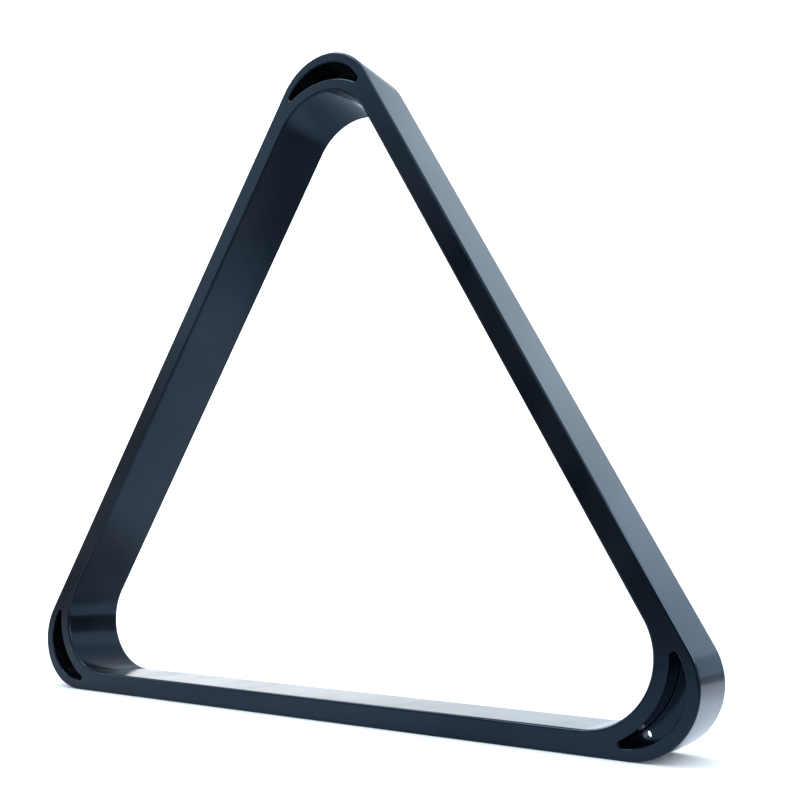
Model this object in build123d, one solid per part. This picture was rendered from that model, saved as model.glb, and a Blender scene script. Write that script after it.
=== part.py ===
from build123d import *
import os
from math import sqrt

# Triangle rack for a set of pool balls, standing on its bottom bar.
# Millimetres. +X is the rack's width, +Y its depth from front face to rear face, +Z is up.
# The origin is on the surface the rack stands on, under the middle of the bottom bar.
# The rack is two mirrored rings, glued at mid-depth by a tongue in a groove.
# Sketches are drawn about the triangle's centroid, with one corner pointing up.

# The balls that the rack gathers
BALL_DIAMETER = 57.15
BALLS_PER_SIDE = 5
BALL_CLEARANCE = 1.43

# The ring
BAR_THICKNESS = 9.0
DEPTH = 31.25
INNER_CORNER_RADIUS = 25.75
OUTER_CORNER_RADIUS = 25.5
EDGE_ROUND = 1.0

# The crescent pocket sunk in both faces of each corner
POCKET_OUTER_WALL = 4.75
POCKET_OUTER_RADIUS = 21.75
POCKET_INNER_WALL = 5.4
POCKET_INNER_RADIUS = 33.8
POCKET_TIP_ROUND = 1.25
POCKET_RIM_ROUND = 0.5
POCKET_FLOOR_ROUND = 0.35

# The web left between a corner's two pockets, and the small hole through it
WEB_THICKNESS = 5.2
WEB_HOLE_DIAMETER = 3.0
WEB_HOLE_FROM_BISECTOR = 13.6
WEB_HOLE_FROM_CENTROID = 170.9

# The joint between the two rings, which runs inside the wall next to the balls
TONGUE_FROM_INNER_FACE = 1.6
TONGUE_WIDTH = 2.0
TONGUE_HEIGHT = 1.8
GROOVE_SIDE_CLEARANCE = 0.05
GROOVE_FLOOR_CLEARANCE = 0.2

# Worked-out sizes
BALL_RADIUS = BALL_DIAMETER / 2
BALL_CENTRES_APOTHEM = BALL_DIAMETER * (BALLS_PER_SIDE - 1) / (2 * sqrt(3))
INNER_APOTHEM = BALL_CENTRES_APOTHEM + BALL_RADIUS + BALL_CLEARANCE
OUTER_APOTHEM = INNER_APOTHEM + BAR_THICKNESS
HALF_DEPTH = DEPTH / 2
POCKET_DEPTH = (DEPTH - WEB_THICKNESS) / 2
CORNER_ANGLES = (0, 120, 240)


def rounded_triangle(apothem, corner_radius):
    """An equilateral triangle about the centroid, given by the distance to its sides."""
    half_side = sqrt(3) * apothem
    sharp = Polygon((0, 2 * apothem), (-half_side, -apothem), (half_side, -apothem), align=None)
    return fillet(sharp.vertices(), corner_radius)


def corner_apex(apothem, corner_radius):
    """The distance from the centroid to the middle of a corner's arc."""
    return 2 * (apothem - corner_radius) + corner_radius


def ring_section():
    """The ring seen from the front, without its pockets."""
    outline = rounded_triangle(OUTER_APOTHEM, OUTER_CORNER_RADIUS)
    return outline - rounded_triangle(INNER_APOTHEM, INNER_CORNER_RADIUS)


def pocket_section():
    """The crescent of the top corner's pocket: one circle less another nearer the centroid."""
    outer_apex = corner_apex(OUTER_APOTHEM, OUTER_CORNER_RADIUS) - POCKET_OUTER_WALL
    inner_apex = corner_apex(INNER_APOTHEM, INNER_CORNER_RADIUS) + POCKET_INNER_WALL
    outer_circle = Pos(0, outer_apex - POCKET_OUTER_RADIUS) * Circle(POCKET_OUTER_RADIUS)
    inner_circle = Pos(0, inner_apex - POCKET_INNER_RADIUS) * Circle(POCKET_INNER_RADIUS)
    sharp = outer_circle - inner_circle
    return fillet(sharp.vertices(), POCKET_TIP_ROUND)


def joint_section(grow):
    """The band that the tongue follows, wider by grow on each side."""
    near = TONGUE_FROM_INNER_FACE - grow
    far = TONGUE_FROM_INNER_FACE + TONGUE_WIDTH + grow
    outline = rounded_triangle(INNER_APOTHEM + far, INNER_CORNER_RADIUS + far)
    return outline - rounded_triangle(INNER_APOTHEM + near, INNER_CORNER_RADIUS + near)


def web_hole():
    """A cylinder right through the top corner's web, to one side of the corner's middle."""
    place = Pos(WEB_HOLE_FROM_BISECTOR, WEB_HOLE_FROM_CENTROID, -HALF_DEPTH)
    return place * Cylinder(WEB_HOLE_DIAMETER / 2, 2 * WEB_THICKNESS)


def at_corners(shape):
    """The same shape at each of the three corners."""
    return [Rot(0, 0, angle) * shape for angle in CORNER_ANGLES]


def half_ring():
    """The half of the rack from its outer face, at local zero, down to the plane of the joint."""
    ring = extrude(ring_section(), -HALF_DEPTH)
    face_edges = ring.faces().sort_by(Axis.Z)[-1].edges()
    ring = fillet(face_edges, EDGE_ROUND)
    pocket = extrude(pocket_section(), -POCKET_DEPTH)
    pocket = fillet(pocket.faces().sort_by(Axis.Z)[0].edges(), POCKET_FLOOR_ROUND)
    for cut in at_corners(pocket):
        ring -= cut
    rims = ring.faces().sort_by(Axis.Z)[-1].inner_wires().sort_by(SortBy.LENGTH)[:3]
    ring = fillet([edge for rim in rims for edge in rim.edges()], POCKET_RIM_ROUND)
    for cut in at_corners(web_hole()):
        ring -= cut
    return ring


def front_half():
    """The half towards -Y, with the groove."""
    groove_depth = TONGUE_HEIGHT + GROOVE_FLOOR_CLEARANCE
    groove = Pos(0, 0, -HALF_DEPTH) * extrude(joint_section(GROOVE_SIDE_CLEARANCE), groove_depth)
    return half_ring() - groove


def rear_half():
    """The half towards +Y, with the tongue standing on the plane of the joint."""
    mid_plane = Plane.XY.offset(-HALF_DEPTH)
    tongue = Pos(0, 0, -HALF_DEPTH) * extrude(joint_section(0), TONGUE_HEIGHT)
    return mirror(half_ring(), about=mid_plane) + tongue


def stand_up(shape):
    """Turns a shape's sketch plane upright, with its outer face to the front."""
    upright = Plane(origin=(0, -HALF_DEPTH, OUTER_APOTHEM), x_dir=(1, 0, 0), z_dir=(0, -1, 0))
    return upright * shape


def main():
    os.makedirs("parts", exist_ok=True)
    export_step(stand_up(front_half()), "parts/front_half.step")
    export_step(stand_up(rear_half()), "parts/rear_half.step")


main()
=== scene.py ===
from math import atan2, cos, pi, radians, sin, sqrt

import bmesh
import bpy
from mathutils import Matrix, Vector
from mathutils.geometry import delaunay_2d_cdt


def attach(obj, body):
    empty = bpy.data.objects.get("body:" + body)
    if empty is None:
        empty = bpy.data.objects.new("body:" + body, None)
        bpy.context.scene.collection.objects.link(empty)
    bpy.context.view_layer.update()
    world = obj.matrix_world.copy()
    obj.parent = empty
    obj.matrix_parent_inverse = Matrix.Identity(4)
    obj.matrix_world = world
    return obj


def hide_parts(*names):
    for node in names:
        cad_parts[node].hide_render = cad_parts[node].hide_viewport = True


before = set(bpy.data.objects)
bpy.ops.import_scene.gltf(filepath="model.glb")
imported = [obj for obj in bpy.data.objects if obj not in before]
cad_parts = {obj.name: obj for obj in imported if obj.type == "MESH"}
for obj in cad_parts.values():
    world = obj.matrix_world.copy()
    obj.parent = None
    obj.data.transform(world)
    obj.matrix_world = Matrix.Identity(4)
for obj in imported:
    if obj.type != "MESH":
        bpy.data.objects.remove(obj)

MM = 0.001

# The rack's sizes are the CAD model's, with its apothems of 104.996 and 95.996 mm rounded.
# Outlines are drawn about the triangle's middle, one corner up. An apothem is from there to a side.
OUTER_APOTHEM = 105.0 * MM
INNER_APOTHEM = 96.0 * MM
OUTER_CORNER_RADIUS = 25.5 * MM
INNER_CORNER_RADIUS = 25.75 * MM
HALF_DEPTH = 15.625 * MM
EDGE_ROUND = 1.0 * MM

# The crescent pocket in both faces of each corner
POCKET_OUTER_WALL = 4.75 * MM
POCKET_OUTER_RADIUS = 21.75 * MM
POCKET_INNER_WALL = 5.4 * MM
POCKET_INNER_RADIUS = 33.8 * MM
POCKET_TIP_ROUND = 1.25 * MM
POCKET_RIM_ROUND = 0.5 * MM
POCKET_FLOOR_ROUND = 0.35 * MM
WEB_THICKNESS = 5.2 * MM
POCKET_DEPTH = HALF_DEPTH - WEB_THICKNESS / 2
WEB_HOLE_RADIUS = 1.5 * MM
WEB_HOLE_PLACE = Vector((13.6, 170.9)) * MM

# The joint between the two halves, inside the wall next to the balls
TONGUE_FROM_INNER_FACE = 1.6 * MM
TONGUE_WIDTH = 2.0 * MM
TONGUE_HEIGHT = 1.8 * MM
GROOVE_SIDE_CLEARANCE = 0.05 * MM
GROOVE_FLOOR_CLEARANCE = 0.2 * MM

# How finely the curves are divided
CORNER_STEPS = 60
SIDE_STEPS = 24
POCKET_STEPS = 48
TIP_STEPS = 14
HOLE_STEPS = 36
ROUND_STEPS = 7
SMALL_ROUND_STEPS = 5

# How the flat faces are divided: triangles inside their edges, and points this near are one
INSIDE_THE_EDGES = 1
SAME_POINT = 1e-9

# Camera, in metres and degrees, in the rack's own frame
CAMERA_PLACE = (0.2590, -0.3492, 0.0622)
CAMERA_AZIMUTH = 33.81
CAMERA_ELEVATION = -6.86
CAMERA_ROLL = 1.52
CAMERA_LENS_MM = 44.96
CAMERA_SENSOR_MM = 36.0
CAMERA_SHIFT = (0.0258, 0.0604)

# What the lamps point at
RACK_MIDDLE = Vector((0, 0, OUTER_APOTHEM))

# The plastic. Scales are in noise cells per metre, and bump heights in metres.
CLOUD_SCALE = 26
SMEAR_SCALE = 75
WAVE_SCALE = 38
GRAIN_SCALE = 2600
DUST_SCALE = 110.0
WAVE_HEIGHT = 0.00006
GRAIN_HEIGHT = 0.000004
DARK_PLASTIC = (0.0008, 0.0014, 0.0024, 1)
LIGHT_PLASTIC = (0.0032, 0.0042, 0.0058, 1)
DUST_COLOUR = (0.20, 0.22, 0.24, 1)
PLASTIC_IOR = 1.43
PLASTIC_TINT = (0.41, 0.665, 0.96, 1)

# Squeezing the noise's coordinate along the rack's depth draws the smears out that way
SMEAR_SQUEEZE = (1.0, 0.35, 1.0)

# The floor, and the shade that lies just above it. Widths and heights are in metres.
FLOOR_HALF_WIDTH = 6.0
FLOOR_COLOUR = (0.82, 0.90, 0.97, 1)
FLOOR_ROUGHNESS = 0.9
SHADE_HALF_WIDTH = 5.9
SHADE_HEIGHT = 0.00002

# The world: what the camera and the floor see, and what reflections see
SEEN_BRIGHTNESS = 1.9
ROOM_BRIGHTNESS = 0.18
ROOM_COLOUR = (0.82, 1.0, 1.17, 1)
LOW_LEFT_COLOUR = (0.95, 1.0, 1.05, 1)
RIGHT_REAR_COLOUR = (0.72, 1.0, 1.38, 1)


def clear_defaults():
    """Removes the start-up scene's own cube, light and camera."""
    for name in ("Cube", "Light", "Camera"):
        thing = bpy.data.objects.get(name)
        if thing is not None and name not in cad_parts:
            bpy.data.objects.remove(thing)


# Outlines. Each is a closed list of (point, normal) pairs, so that an outline can grow by any distance.

def arc(centre, radius, start, end, steps):
    """Points on an arc. With a negative radius the normals point at the centre."""
    pairs = []
    for step in range(steps + 1):
        angle = start + (end - start) * step / steps
        normal = Vector((cos(angle), sin(angle)))
        pairs.append((centre + radius * normal, normal))
    return pairs


def triangle_outline(apothem, corner_radius):
    """A rounded triangle about the middle, counter-clockwise, with its long sides divided."""
    pairs = []
    reach = 2 * (apothem - corner_radius)
    for corner in range(3):
        middle = radians(90 + 120 * corner)
        centre = Vector((cos(middle), sin(middle))) * reach
        pairs += arc(centre, corner_radius, middle - pi / 3, middle + pi / 3, CORNER_STEPS)
        side_start, side_normal = pairs[-1]
        half_side = sqrt(3) * (apothem - corner_radius)
        along = Vector((-side_normal.y, side_normal.x))
        for step in range(1, SIDE_STEPS):
            pairs.append((side_start + along * (2 * half_side * step / SIDE_STEPS), side_normal))
    return pairs


def crescent_outline():
    """The top corner's pocket: an outer arc, an inner arc and two small round tips."""
    outer_apex = 2 * OUTER_APOTHEM - OUTER_CORNER_RADIUS - POCKET_OUTER_WALL
    inner_apex = 2 * INNER_APOTHEM - INNER_CORNER_RADIUS + POCKET_INNER_WALL
    outer_centre = Vector((0, outer_apex - POCKET_OUTER_RADIUS))
    inner_centre = Vector((0, inner_apex - POCKET_INNER_RADIUS))
    # The tip's centre is a known distance from the centres of both arcs that it touches
    to_outer = POCKET_OUTER_RADIUS - POCKET_TIP_ROUND
    to_inner = POCKET_INNER_RADIUS + POCKET_TIP_ROUND
    apart = to_inner ** 2 - to_outer ** 2 + outer_centre.y ** 2 - inner_centre.y ** 2
    tip_y = apart / (2 * (outer_centre.y - inner_centre.y))
    tip_x = sqrt(to_outer ** 2 - (tip_y - outer_centre.y) ** 2)
    outer_end = atan2(tip_y - outer_centre.y, tip_x)
    inner_end = atan2(tip_y - inner_centre.y, tip_x)
    left_tip, right_tip = Vector((-tip_x, tip_y)), Vector((tip_x, tip_y))
    outer = arc(outer_centre, POCKET_OUTER_RADIUS, outer_end, pi - outer_end, POCKET_STEPS)
    left = arc(left_tip, POCKET_TIP_ROUND, pi - outer_end, 2 * pi - inner_end, TIP_STEPS)
    inner = arc(inner_centre, -POCKET_INNER_RADIUS, 2 * pi - inner_end, pi + inner_end, POCKET_STEPS)
    right = arc(right_tip, POCKET_TIP_ROUND, inner_end - pi, outer_end, TIP_STEPS)
    return outer[:-1] + left[:-1] + inner[:-1] + right[:-1]


def turned(outline, angle):
    """An outline turned about the triangle's middle."""
    turn = Matrix.Rotation(angle, 2)
    return [(turn @ point, turn @ normal) for point, normal in outline]


def encloses(loop, point):
    """Whether a closed loop of points has a point inside it."""
    inside = False
    for near, far in zip(loop, loop[1:] + loop[:1]):
        if (near.y > point.y) != (far.y > point.y):
            crossing = near.x + (far.x - near.x) * (point.y - near.y) / (far.y - near.y)
            inside = inside != (point.x < crossing)
    return inside


class Half:
    """One half of the rack as a closed mesh. side is -1 for the front half and 1 for the rear one.

    Depth is measured from the half's own face towards the joint at mid-depth.
    """

    def __init__(self, side):
        self.side = side
        self.mesh = bmesh.new()
        self.normals = []

    def direction(self, flat, deep):
        """The direction with the given parts in the outline's plane and along depth."""
        return Vector((flat.x, -self.side * deep, flat.y)).normalized()

    def ring(self, outline, grow, depth, turn, facing):
        """A closed row of vertices. turn is 0 where the surface is a wall, and pi / 2 where it is a face.

        facing is 1 where the surface looks away from the outline's inside, and -1 where it looks in.
        """
        row = []
        lean = sin(turn)
        for point, normal in outline:
            moved = point + normal * grow
            place = (moved.x, self.side * (HALF_DEPTH - depth), OUTER_APOTHEM + moved.y)
            row.append(self.mesh.verts.new(place))
            self.normals.append(self.direction(facing * cos(turn) * normal, -lean))
        return row

    def skin(self, rows):
        """Smooth quads between each row and the next one."""
        for near, far in zip(rows, rows[1:]):
            for i in range(len(near)):
                k = (i + 1) % len(near)
                face = self.mesh.faces.new((near[i], near[k], far[k], far[i]))
                face.smooth = True

    def fill(self, *rows):
        """A flat face inside the first row, with the other rows as its holes."""
        vertices = [vertex for row in rows for vertex in row]
        flat = [Vector((vertex.co.x, vertex.co.z)) for vertex in vertices]
        loops, edges, start = [], [], 0
        for row in rows:
            end = start + len(row)
            edges += [(k, k + 1 if k + 1 < end else start) for k in range(start, end)]
            loops.append(flat[start:end])
            start = end
        found = delaunay_2d_cdt(flat, edges, [], INSIDE_THE_EDGES, SAME_POINT)
        triangles, origins = found[2], found[3]
        for triangle in triangles:
            corners = [origins[k][0] for k in triangle]
            middle = (flat[corners[0]] + flat[corners[1]] + flat[corners[2]]) / 3
            if not any(encloses(hole, middle) for hole in loops[1:]):
                self.mesh.faces.new([vertices[k] for k in corners])

    def wall(self, outline, facing):
        """A ring wall: its rounded edge at the face, then straight to the joint."""
        rows = []
        for step in range(ROUND_STEPS + 1):
            turn = pi / 2 * (1 - step / ROUND_STEPS)
            grow = -facing * EDGE_ROUND * (1 - cos(turn))
            rows.append(self.ring(outline, grow, EDGE_ROUND * (1 - sin(turn)), turn, facing))
        rows.append(self.ring(outline, 0, HALF_DEPTH, 0, facing))
        self.skin(rows)
        return rows[0], rows[-1]

    def pocket(self, angle):
        """A pocket and its web hole. Returns the rim at the face and the hole at the joint."""
        outline = turned(crescent_outline(), angle)
        rows = []
        for step in range(SMALL_ROUND_STEPS + 1):
            turn = pi / 2 * (1 - step / SMALL_ROUND_STEPS)
            grow = POCKET_RIM_ROUND * (1 - cos(turn))
            rows.append(self.ring(outline, grow, POCKET_RIM_ROUND * (1 - sin(turn)), turn, -1))
        for step in range(SMALL_ROUND_STEPS + 1):
            turn = pi / 2 * step / SMALL_ROUND_STEPS
            grow = -POCKET_FLOOR_ROUND * (1 - cos(turn))
            depth = POCKET_DEPTH - POCKET_FLOOR_ROUND * (1 - sin(turn))
            rows.append(self.ring(outline, grow, depth, turn, -1))
        self.skin(rows)
        circle = turned(arc(WEB_HOLE_PLACE, WEB_HOLE_RADIUS, 0, 2 * pi, HOLE_STEPS)[:-1], angle)
        hole_top = self.ring(circle, 0, POCKET_DEPTH, 0, -1)
        hole_end = self.ring(circle, 0, HALF_DEPTH, 0, -1)
        self.skin([hole_top, hole_end])
        self.fill(rows[-1], hole_top)
        return rows[0], hole_end

    def joint(self, clearance, depth):
        """The walls of the groove or the tongue. Returns its two rows at the joint."""
        near = TONGUE_FROM_INNER_FACE - clearance
        far = TONGUE_FROM_INNER_FACE + TONGUE_WIDTH + clearance
        outline = triangle_outline(INNER_APOTHEM, INNER_CORNER_RADIUS)
        facing = 1 if depth < HALF_DEPTH else -1
        near_rows = [self.ring(outline, near, level, 0, facing) for level in (HALF_DEPTH, depth)]
        far_rows = [self.ring(outline, far, level, 0, -facing) for level in (HALF_DEPTH, depth)]
        self.skin(near_rows)
        self.skin(far_rows)
        self.fill(far_rows[1], near_rows[1])
        return near_rows[0], far_rows[0]

    def finished(self, name):
        """The object, with exact normals: smooth on the skins, flat on the fills."""
        bmesh.ops.recalc_face_normals(self.mesh, faces=self.mesh.faces)
        open_edges = [edge for edge in self.mesh.edges if not edge.is_manifold]
        assert not open_edges, f"{name} has {len(open_edges)} open edges"
        data = bpy.data.meshes.new(name)
        self.mesh.to_mesh(data)
        self.mesh.free()
        corners = []
        for face in data.polygons:
            for vertex in face.vertices:
                corners.append(self.normals[vertex] if face.use_smooth else face.normal)
        data.normals_split_custom_set(corners)
        made = bpy.data.objects.new(name, data)
        bpy.context.collection.objects.link(made)
        return made


def build_half(name, side, joint_clearance, joint_depth):
    """A whole half: its walls, its pockets, its joint, and the flat faces between them."""
    half = Half(side)
    outer_rim, outer_end = half.wall(triangle_outline(OUTER_APOTHEM, OUTER_CORNER_RADIUS), 1)
    inner_rim, inner_end = half.wall(triangle_outline(INNER_APOTHEM, INNER_CORNER_RADIUS), -1)
    pockets = [half.pocket(radians(120 * corner)) for corner in range(3)]
    joint_near, joint_far = half.joint(joint_clearance, joint_depth)
    half.fill(outer_rim, inner_rim, *[rim for rim, hole in pockets])
    half.fill(outer_end, joint_far, *[hole for rim, hole in pockets])
    half.fill(joint_near, inner_end)
    return half.finished(name)


# Materials

def add_node(tree, kind, inputs=None, **settings):
    """A node with some of its settings made and some of its inputs set or linked."""
    made = tree.nodes.new(kind)
    for key, value in settings.items():
        setattr(made, key, value)
    for key, value in (inputs or {}).items():
        if isinstance(value, bpy.types.NodeSocket):
            tree.links.new(value, made.inputs[key])
        else:
            made.inputs[key].default_value = value
    return made


def noise(tree, place, scale, detail, roughness=0.5):
    """A smoothly varying value from 0 to 1, mostly near 0.5."""
    made = add_node(tree, "ShaderNodeTexNoise", {"Vector": place, "Scale": scale, "Detail": detail})
    made.inputs["Roughness"].default_value = roughness
    return made.outputs["Fac"]


def between(tree, value, low, high, from_low, from_high):
    """A smooth change from low, where the value is from_low, to high, where it is from_high."""
    inputs = {"Value": value, "From Min": from_low, "From Max": from_high, "To Min": low, "To Max": high}
    return add_node(tree, "ShaderNodeMapRange", inputs, interpolation_type="SMOOTHSTEP").outputs["Result"]


def product(tree, first, second):
    return add_node(tree, "ShaderNodeMath", {0: first, 1: second}, operation="MULTIPLY").outputs["Value"]


def total(tree, first, second):
    return add_node(tree, "ShaderNodeMath", {0: first, 1: second}, operation="ADD").outputs["Value"]


def moulded_plastic():
    """Satin black plastic with a blue cast: cloudy tone, smears, soft waves, fine grain and dust."""
    material = bpy.data.materials.new("moulded_plastic")
    material.use_nodes = True
    tree = material.node_tree
    shader = tree.nodes["Principled BSDF"]
    place = add_node(tree, "ShaderNodeTexCoord").outputs["Object"]
    squeezed = {"Vector": place, "Scale": SMEAR_SQUEEZE}
    drawn_out = add_node(tree, "ShaderNodeMapping", squeezed).outputs["Vector"]
    clouds = noise(tree, place, CLOUD_SCALE, 3)
    smears = noise(tree, drawn_out, SMEAR_SCALE, 4, 0.6)
    grain = noise(tree, place, GRAIN_SCALE, 2)

    dust_cells = add_node(tree, "ShaderNodeTexVoronoi", {"Vector": place, "Scale": DUST_SCALE})
    # A speck is a small spot at a cell's point, and only a few cells have one
    near_speck = between(tree, dust_cells.outputs["Distance"], 1, 0, 0.02, 0.05)
    chosen = add_node(tree, "ShaderNodeSeparateColor", {"Color": dust_cells.outputs["Color"]}).outputs["Red"]
    rare = between(tree, chosen, 0, 1, 0.955, 0.965)
    dust = product(tree, near_speck, rare)

    cloudy = between(tree, clouds, 0, 1, 0.35, 0.65)
    plain = add_node(tree, "ShaderNodeMix", {"Factor": cloudy}, data_type="RGBA")
    plain.inputs["A"].default_value = DARK_PLASTIC
    plain.inputs["B"].default_value = LIGHT_PLASTIC
    dusted = add_node(tree, "ShaderNodeMix", {"Factor": dust, "A": plain.outputs["Result"]}, data_type="RGBA")
    dusted.inputs["B"].default_value = DUST_COLOUR
    tree.links.new(dusted.outputs["Result"], shader.inputs["Base Color"])

    handled = between(tree, clouds, 0, 0.03, 0.45, 0.65)
    smeared = between(tree, smears, 0.10, 0.14, 0.3, 0.7)
    tree.links.new(total(tree, smeared, handled), shader.inputs["Roughness"])
    shader.inputs["IOR"].default_value = PLASTIC_IOR
    shader.inputs["Specular Tint"].default_value = PLASTIC_TINT

    waves = noise(tree, place, WAVE_SCALE, 2)
    soft = add_node(tree, "ShaderNodeBump", {"Height": waves, "Strength": 1.0, "Distance": WAVE_HEIGHT})
    fine = add_node(tree, "ShaderNodeBump", {"Height": grain, "Strength": 1.0, "Distance": GRAIN_HEIGHT})
    tree.links.new(soft.outputs["Normal"], fine.inputs["Normal"])
    tree.links.new(fine.outputs["Normal"], shader.inputs["Normal"])
    return material


# The studio

def flat_sheet(name, half_width, height):
    """A level square sheet, centred on the rack."""
    mesh = bpy.data.meshes.new(name)
    square = ((-1, -1), (1, -1), (1, 1), (-1, 1))
    corners = [(x * half_width, y * half_width, height) for x, y in square]
    mesh.from_pydata(corners, [], [(0, 1, 2, 3)])
    sheet = bpy.data.objects.new(name, mesh)
    bpy.context.collection.objects.link(sheet)
    return sheet


def build_floor():
    floor = flat_sheet("floor", FLOOR_HALF_WIDTH, 0)
    material = bpy.data.materials.new("floor_white")
    material.use_nodes = True
    shader = material.node_tree.nodes["Principled BSDF"]
    shader.inputs["Base Color"].default_value = FLOOR_COLOUR
    shader.inputs["Roughness"].default_value = FLOOR_ROUGHNESS
    shader.inputs["Specular IOR Level"].default_value = 0.0
    floor.data.materials.append(material)


def distance_from(tree, place, point):
    inputs = {0: place, 1: point}
    return add_node(tree, "ShaderNodeVectorMath", inputs, operation="DISTANCE").outputs["Value"]


def build_floor_shade():
    """A clear sheet that only reflections see. It dims and tints the floor that they find.

    The floor gets dimmer to the right, to the rear left and far in front. One place near the rack is
    then dimmed more, and two are brightened.
    """
    sheet = flat_sheet("floor_shade", SHADE_HALF_WIDTH, SHADE_HEIGHT)
    for ray in ("camera", "diffuse", "transmission", "volume_scatter", "shadow"):
        setattr(sheet, "visible_" + ray, False)
    material = bpy.data.materials.new("floor_shade")
    material.use_nodes = True
    tree = material.node_tree
    tree.nodes.remove(tree.nodes["Principled BSDF"])
    place = add_node(tree, "ShaderNodeTexCoord").outputs["Object"]
    parts = add_node(tree, "ShaderNodeSeparateXYZ", {"Vector": place}).outputs
    rear_left = total(tree, parts["Y"], product(tree, parts["X"], -0.55))
    rear_corner = distance_from(tree, place, (-0.105, 0.045, 0))
    right_corner = distance_from(tree, place, (0.16, 0.04, 0))
    front_middle = distance_from(tree, place, (-0.02, -0.043, 0))
    shade = between(tree, parts["X"], 1.0, 0.40, 0.12, 0.36)
    for change in (between(tree, rear_corner, 0.50, 1.0, 0.02, 0.065),
                   between(tree, right_corner, 1.25, 1.0, 0.04, 0.14),
                   between(tree, front_middle, 1.25, 1.0, 0.03, 0.10)):
        shade = product(tree, shade, change)
    clear = add_node(tree, "ShaderNodeBsdfTransparent")
    grey = add_node(tree, "ShaderNodeCombineColor")
    # Each channel's level near the rack and at the rear left, and what is left of it far in front
    for channel, near, rear, front in (("Red", 0.72, 0.33, 0.40),
                                       ("Green", 0.74, 0.40, 0.33),
                                       ("Blue", 0.80, 0.49, 0.30)):
        level = product(tree, shade, between(tree, rear_left, near, rear, 0.215, 0.265))
        level = product(tree, level, between(tree, parts["Y"], front, 1.0, -0.62, -0.10))
        tree.links.new(level, grey.inputs[channel])
    tree.links.new(grey.outputs["Color"], clear.inputs["Color"])
    tree.links.new(clear.outputs["BSDF"], tree.nodes["Material Output"].inputs["Surface"])
    sheet.data.materials.append(material)


def angles(tree):
    """Where a ray through the room points.

    Returns its degrees right of straight behind the rack, its degrees above level, and how much of
    it points behind the rack, from -1 to 1.
    """
    direction = add_node(tree, "ShaderNodeTexCoord").outputs["Generated"]
    parts = add_node(tree, "ShaderNodeSeparateXYZ", {"Vector": direction}).outputs
    turn = add_node(tree, "ShaderNodeMath", {0: parts["X"], 1: parts["Y"]}, operation="ARCTAN2")
    rise = add_node(tree, "ShaderNodeMath", {0: parts["Z"]}, operation="ARCSINE")
    degrees = [add_node(tree, "ShaderNodeMath", {0: angle.outputs["Value"]}, operation="DEGREES")
               for angle in (turn, rise)]
    return degrees[0].outputs["Value"], degrees[1].outputs["Value"], parts["Y"]


def panel(tree, brightness, *fades):
    """A light panel, fading in along each of some measures from a first value to a second one."""
    level = None
    for measure, start, end in fades:
        if start < end:
            fade = between(tree, measure, 0, 1, start, end)
        else:
            fade = between(tree, measure, 1, 0, end, start)
        level = fade if level is None else product(tree, level, fade)
    return product(tree, level, brightness)


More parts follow.
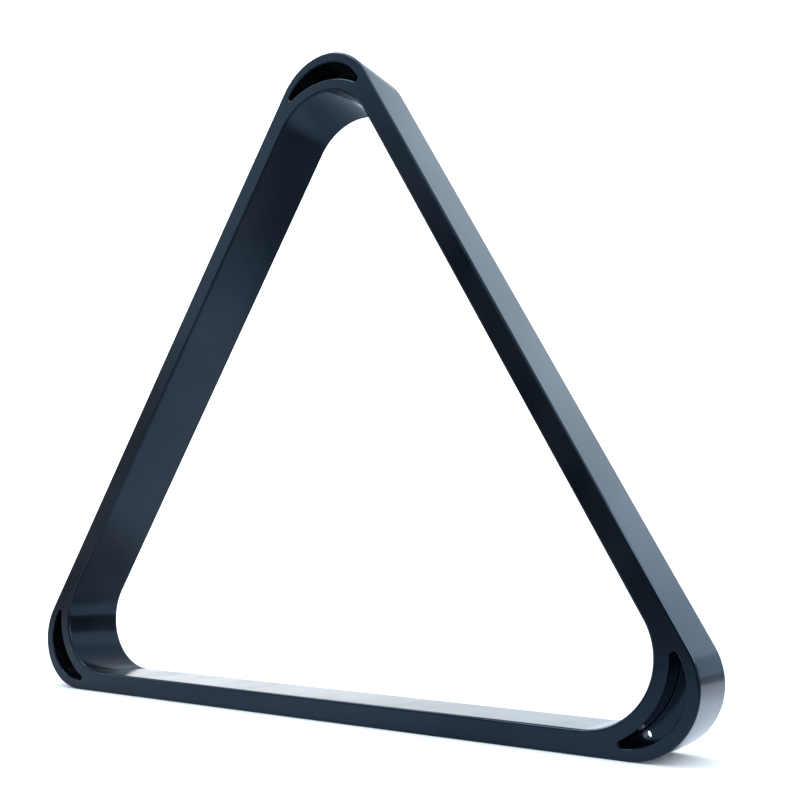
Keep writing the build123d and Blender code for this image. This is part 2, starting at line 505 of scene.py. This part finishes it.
def build_world():
    """White to the eye and to the floor. Reflections find a dim room with bright and dark parts."""
    world = bpy.data.worlds.new("studio")
    bpy.context.scene.world = world
    world.use_nodes = True
    tree = world.node_tree
    turn, rise, depth = angles(tree)
    overhead_front = panel(tree, 0.95, (rise, 20, 28), (depth, 0.1, -0.2))
    overhead_rear = panel(tree, 0.42, (rise, 20, 28), (depth, -0.1, 0.2), (turn, -28, -14))
    rear_band = panel(tree, 0.53, (rise, 20, 28), (rise, 46, 38), (depth, -0.1, 0.2), (turn, -28, -14))
    overhead_left = panel(tree, 0.45, (rise, 20, 28), (depth, -0.1, 0.2), (turn, -14, -28))
    softbox = panel(tree, 1.6, (rise, 52, 72))
    zenith = panel(tree, 1.0, (rise, 66, 73))
    left_side = panel(tree, 1.5, (turn, -45, -55), (turn, -125, -112), (rise, 26, 34), (rise, 62, 54))
    right_side = panel(tree, 1.2, (turn, 50, 65), (turn, 125, 110), (rise, 0, 8), (rise, 56, 48))
    window = panel(tree, 1.12, (turn, -144, -139), (turn, -100, -112), (rise, 5, 14), (rise, 30, 21))
    low_window = panel(tree, 0.38, (turn, -139, -133), (turn, -110, -118), (rise, -9, -4), (rise, 10, 4))
    backdrop = panel(tree, 0.30, (rise, 8.0, 9.5), (turn, -30, -16), (turn, 52, 28), (rise, 30, 21))
    backdrop_top = panel(tree, 0.38, (rise, 12, 20), (turn, -30, -16), (turn, 52, 28), (rise, 30, 21))
    backdrop_low = panel(tree, 0.28, (turn, 44, 24), (turn, -30, -16), (rise, 24, 18))
    backdrop_left = panel(tree, 1.56, (turn, 20, -44), (turn, -130, -95), (rise, 10.5, 8.5))
    left_corner = panel(tree, 0.18, (turn, -32, -41), (turn, -75, -60), (rise, 9, 12), (rise, 34, 26))
    backdrop_mid = panel(tree, 1.0, (turn, -42, -33), (turn, -4, -18), (rise, 8.5, 10.5), (rise, 20, 13))
    level = total(tree, overhead_front, ROOM_BRIGHTNESS)
    for lit in (overhead_rear, rear_band, overhead_left, softbox, zenith,
                left_side, right_side, window, low_window,
                backdrop, backdrop_top, backdrop_low, backdrop_left, backdrop_mid, left_corner):
        level = total(tree, level, lit)
    low_left = product(tree, between(tree, turn, 1, 0, -40, 0), between(tree, rise, 1, 0, 9, 15))
    colour = add_node(tree, "ShaderNodeMix", {"Factor": low_left}, data_type="RGBA")
    colour.inputs["A"].default_value = ROOM_COLOUR
    colour.inputs["B"].default_value = LOW_LEFT_COLOUR
    right_rear = product(tree, between(tree, turn, 0, 1, 3, 14), between(tree, turn, 1, 0, 22, 36))
    cooler = add_node(tree, "ShaderNodeMix", {"Factor": right_rear}, data_type="RGBA")
    tree.links.new(colour.outputs["Result"], cooler.inputs["A"])
    cooler.inputs["B"].default_value = RIGHT_REAR_COLOUR
    seen = tree.nodes["Background"]
    seen.inputs["Color"].default_value = (1, 1, 1, 1)
    seen.inputs["Strength"].default_value = SEEN_BRIGHTNESS
    mirrored = add_node(tree, "ShaderNodeBackground", {"Color": cooler.outputs["Result"], "Strength": level})
    rays = add_node(tree, "ShaderNodeLightPath")
    mixed = add_node(tree, "ShaderNodeMixShader", {0: rays.outputs["Is Glossy Ray"]})
    tree.links.new(seen.outputs["Background"], mixed.inputs[1])
    tree.links.new(mirrored.outputs["Background"], mixed.inputs[2])
    tree.links.new(mixed.outputs["Shader"], tree.nodes["World Output"].inputs["Surface"])


def build_lamp(name, turn, rise, size, energy):
    """A square softbox a metre away, placed by the same angles as the room's panels.

    Only reflections see it. Its size is in metres, its energy in watts.
    """
    data = bpy.data.lights.new(name, "AREA")
    data.size = size
    data.energy = energy
    lamp = bpy.data.objects.new(name, data)
    bpy.context.collection.objects.link(lamp)
    lamp.visible_camera = False
    lamp.visible_diffuse = False
    turn, rise = radians(turn), radians(rise)
    towards = Vector((cos(rise) * sin(turn), cos(rise) * cos(turn), sin(rise)))
    lamp.location = RACK_MIDDLE + towards
    lamp.rotation_euler = towards.to_track_quat("Z", "Y").to_euler()


def build_lights():
    build_lamp("key_softbox", turn=-148, rise=52, size=0.20, energy=2)
    build_lamp("left_softbox", turn=-68, rise=47, size=0.36, energy=4)
    build_lamp("right_softbox", turn=85, rise=26, size=0.40, energy=6)


def build_camera():
    data = bpy.data.cameras.new("camera")
    data.lens = CAMERA_LENS_MM
    data.sensor_width = CAMERA_SENSOR_MM
    data.shift_x, data.shift_y = CAMERA_SHIFT
    camera = bpy.data.objects.new("camera", data)
    bpy.context.collection.objects.link(camera)
    turn = Matrix.Rotation(radians(CAMERA_AZIMUTH), 4, "Z")
    tilt = Matrix.Rotation(radians(90 - CAMERA_ELEVATION), 4, "X")
    roll = Matrix.Rotation(radians(CAMERA_ROLL), 4, "Z")
    camera.matrix_world = Matrix.Translation(CAMERA_PLACE) @ turn @ tilt @ roll
    bpy.context.scene.camera = camera


clear_defaults()
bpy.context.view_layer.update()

groove_depth = HALF_DEPTH - TONGUE_HEIGHT - GROOVE_FLOOR_CLEARANCE
tongue_depth = HALF_DEPTH + TONGUE_HEIGHT
front_moulding = build_half("front_moulding", -1, GROOVE_SIDE_CLEARANCE, groove_depth)
rear_moulding = build_half("rear_moulding", 1, 0, tongue_depth)
plastic = moulded_plastic()
for piece, replaced in ((front_moulding, "front_half"), (rear_moulding, "rear_half")):
    piece.data.materials.append(plastic)
    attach(piece, "root")
    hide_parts(replaced)

build_floor()
build_floor_shade()
build_world()
build_lights()
build_camera()
bpy.context.scene.view_settings.view_transform = "Standard"
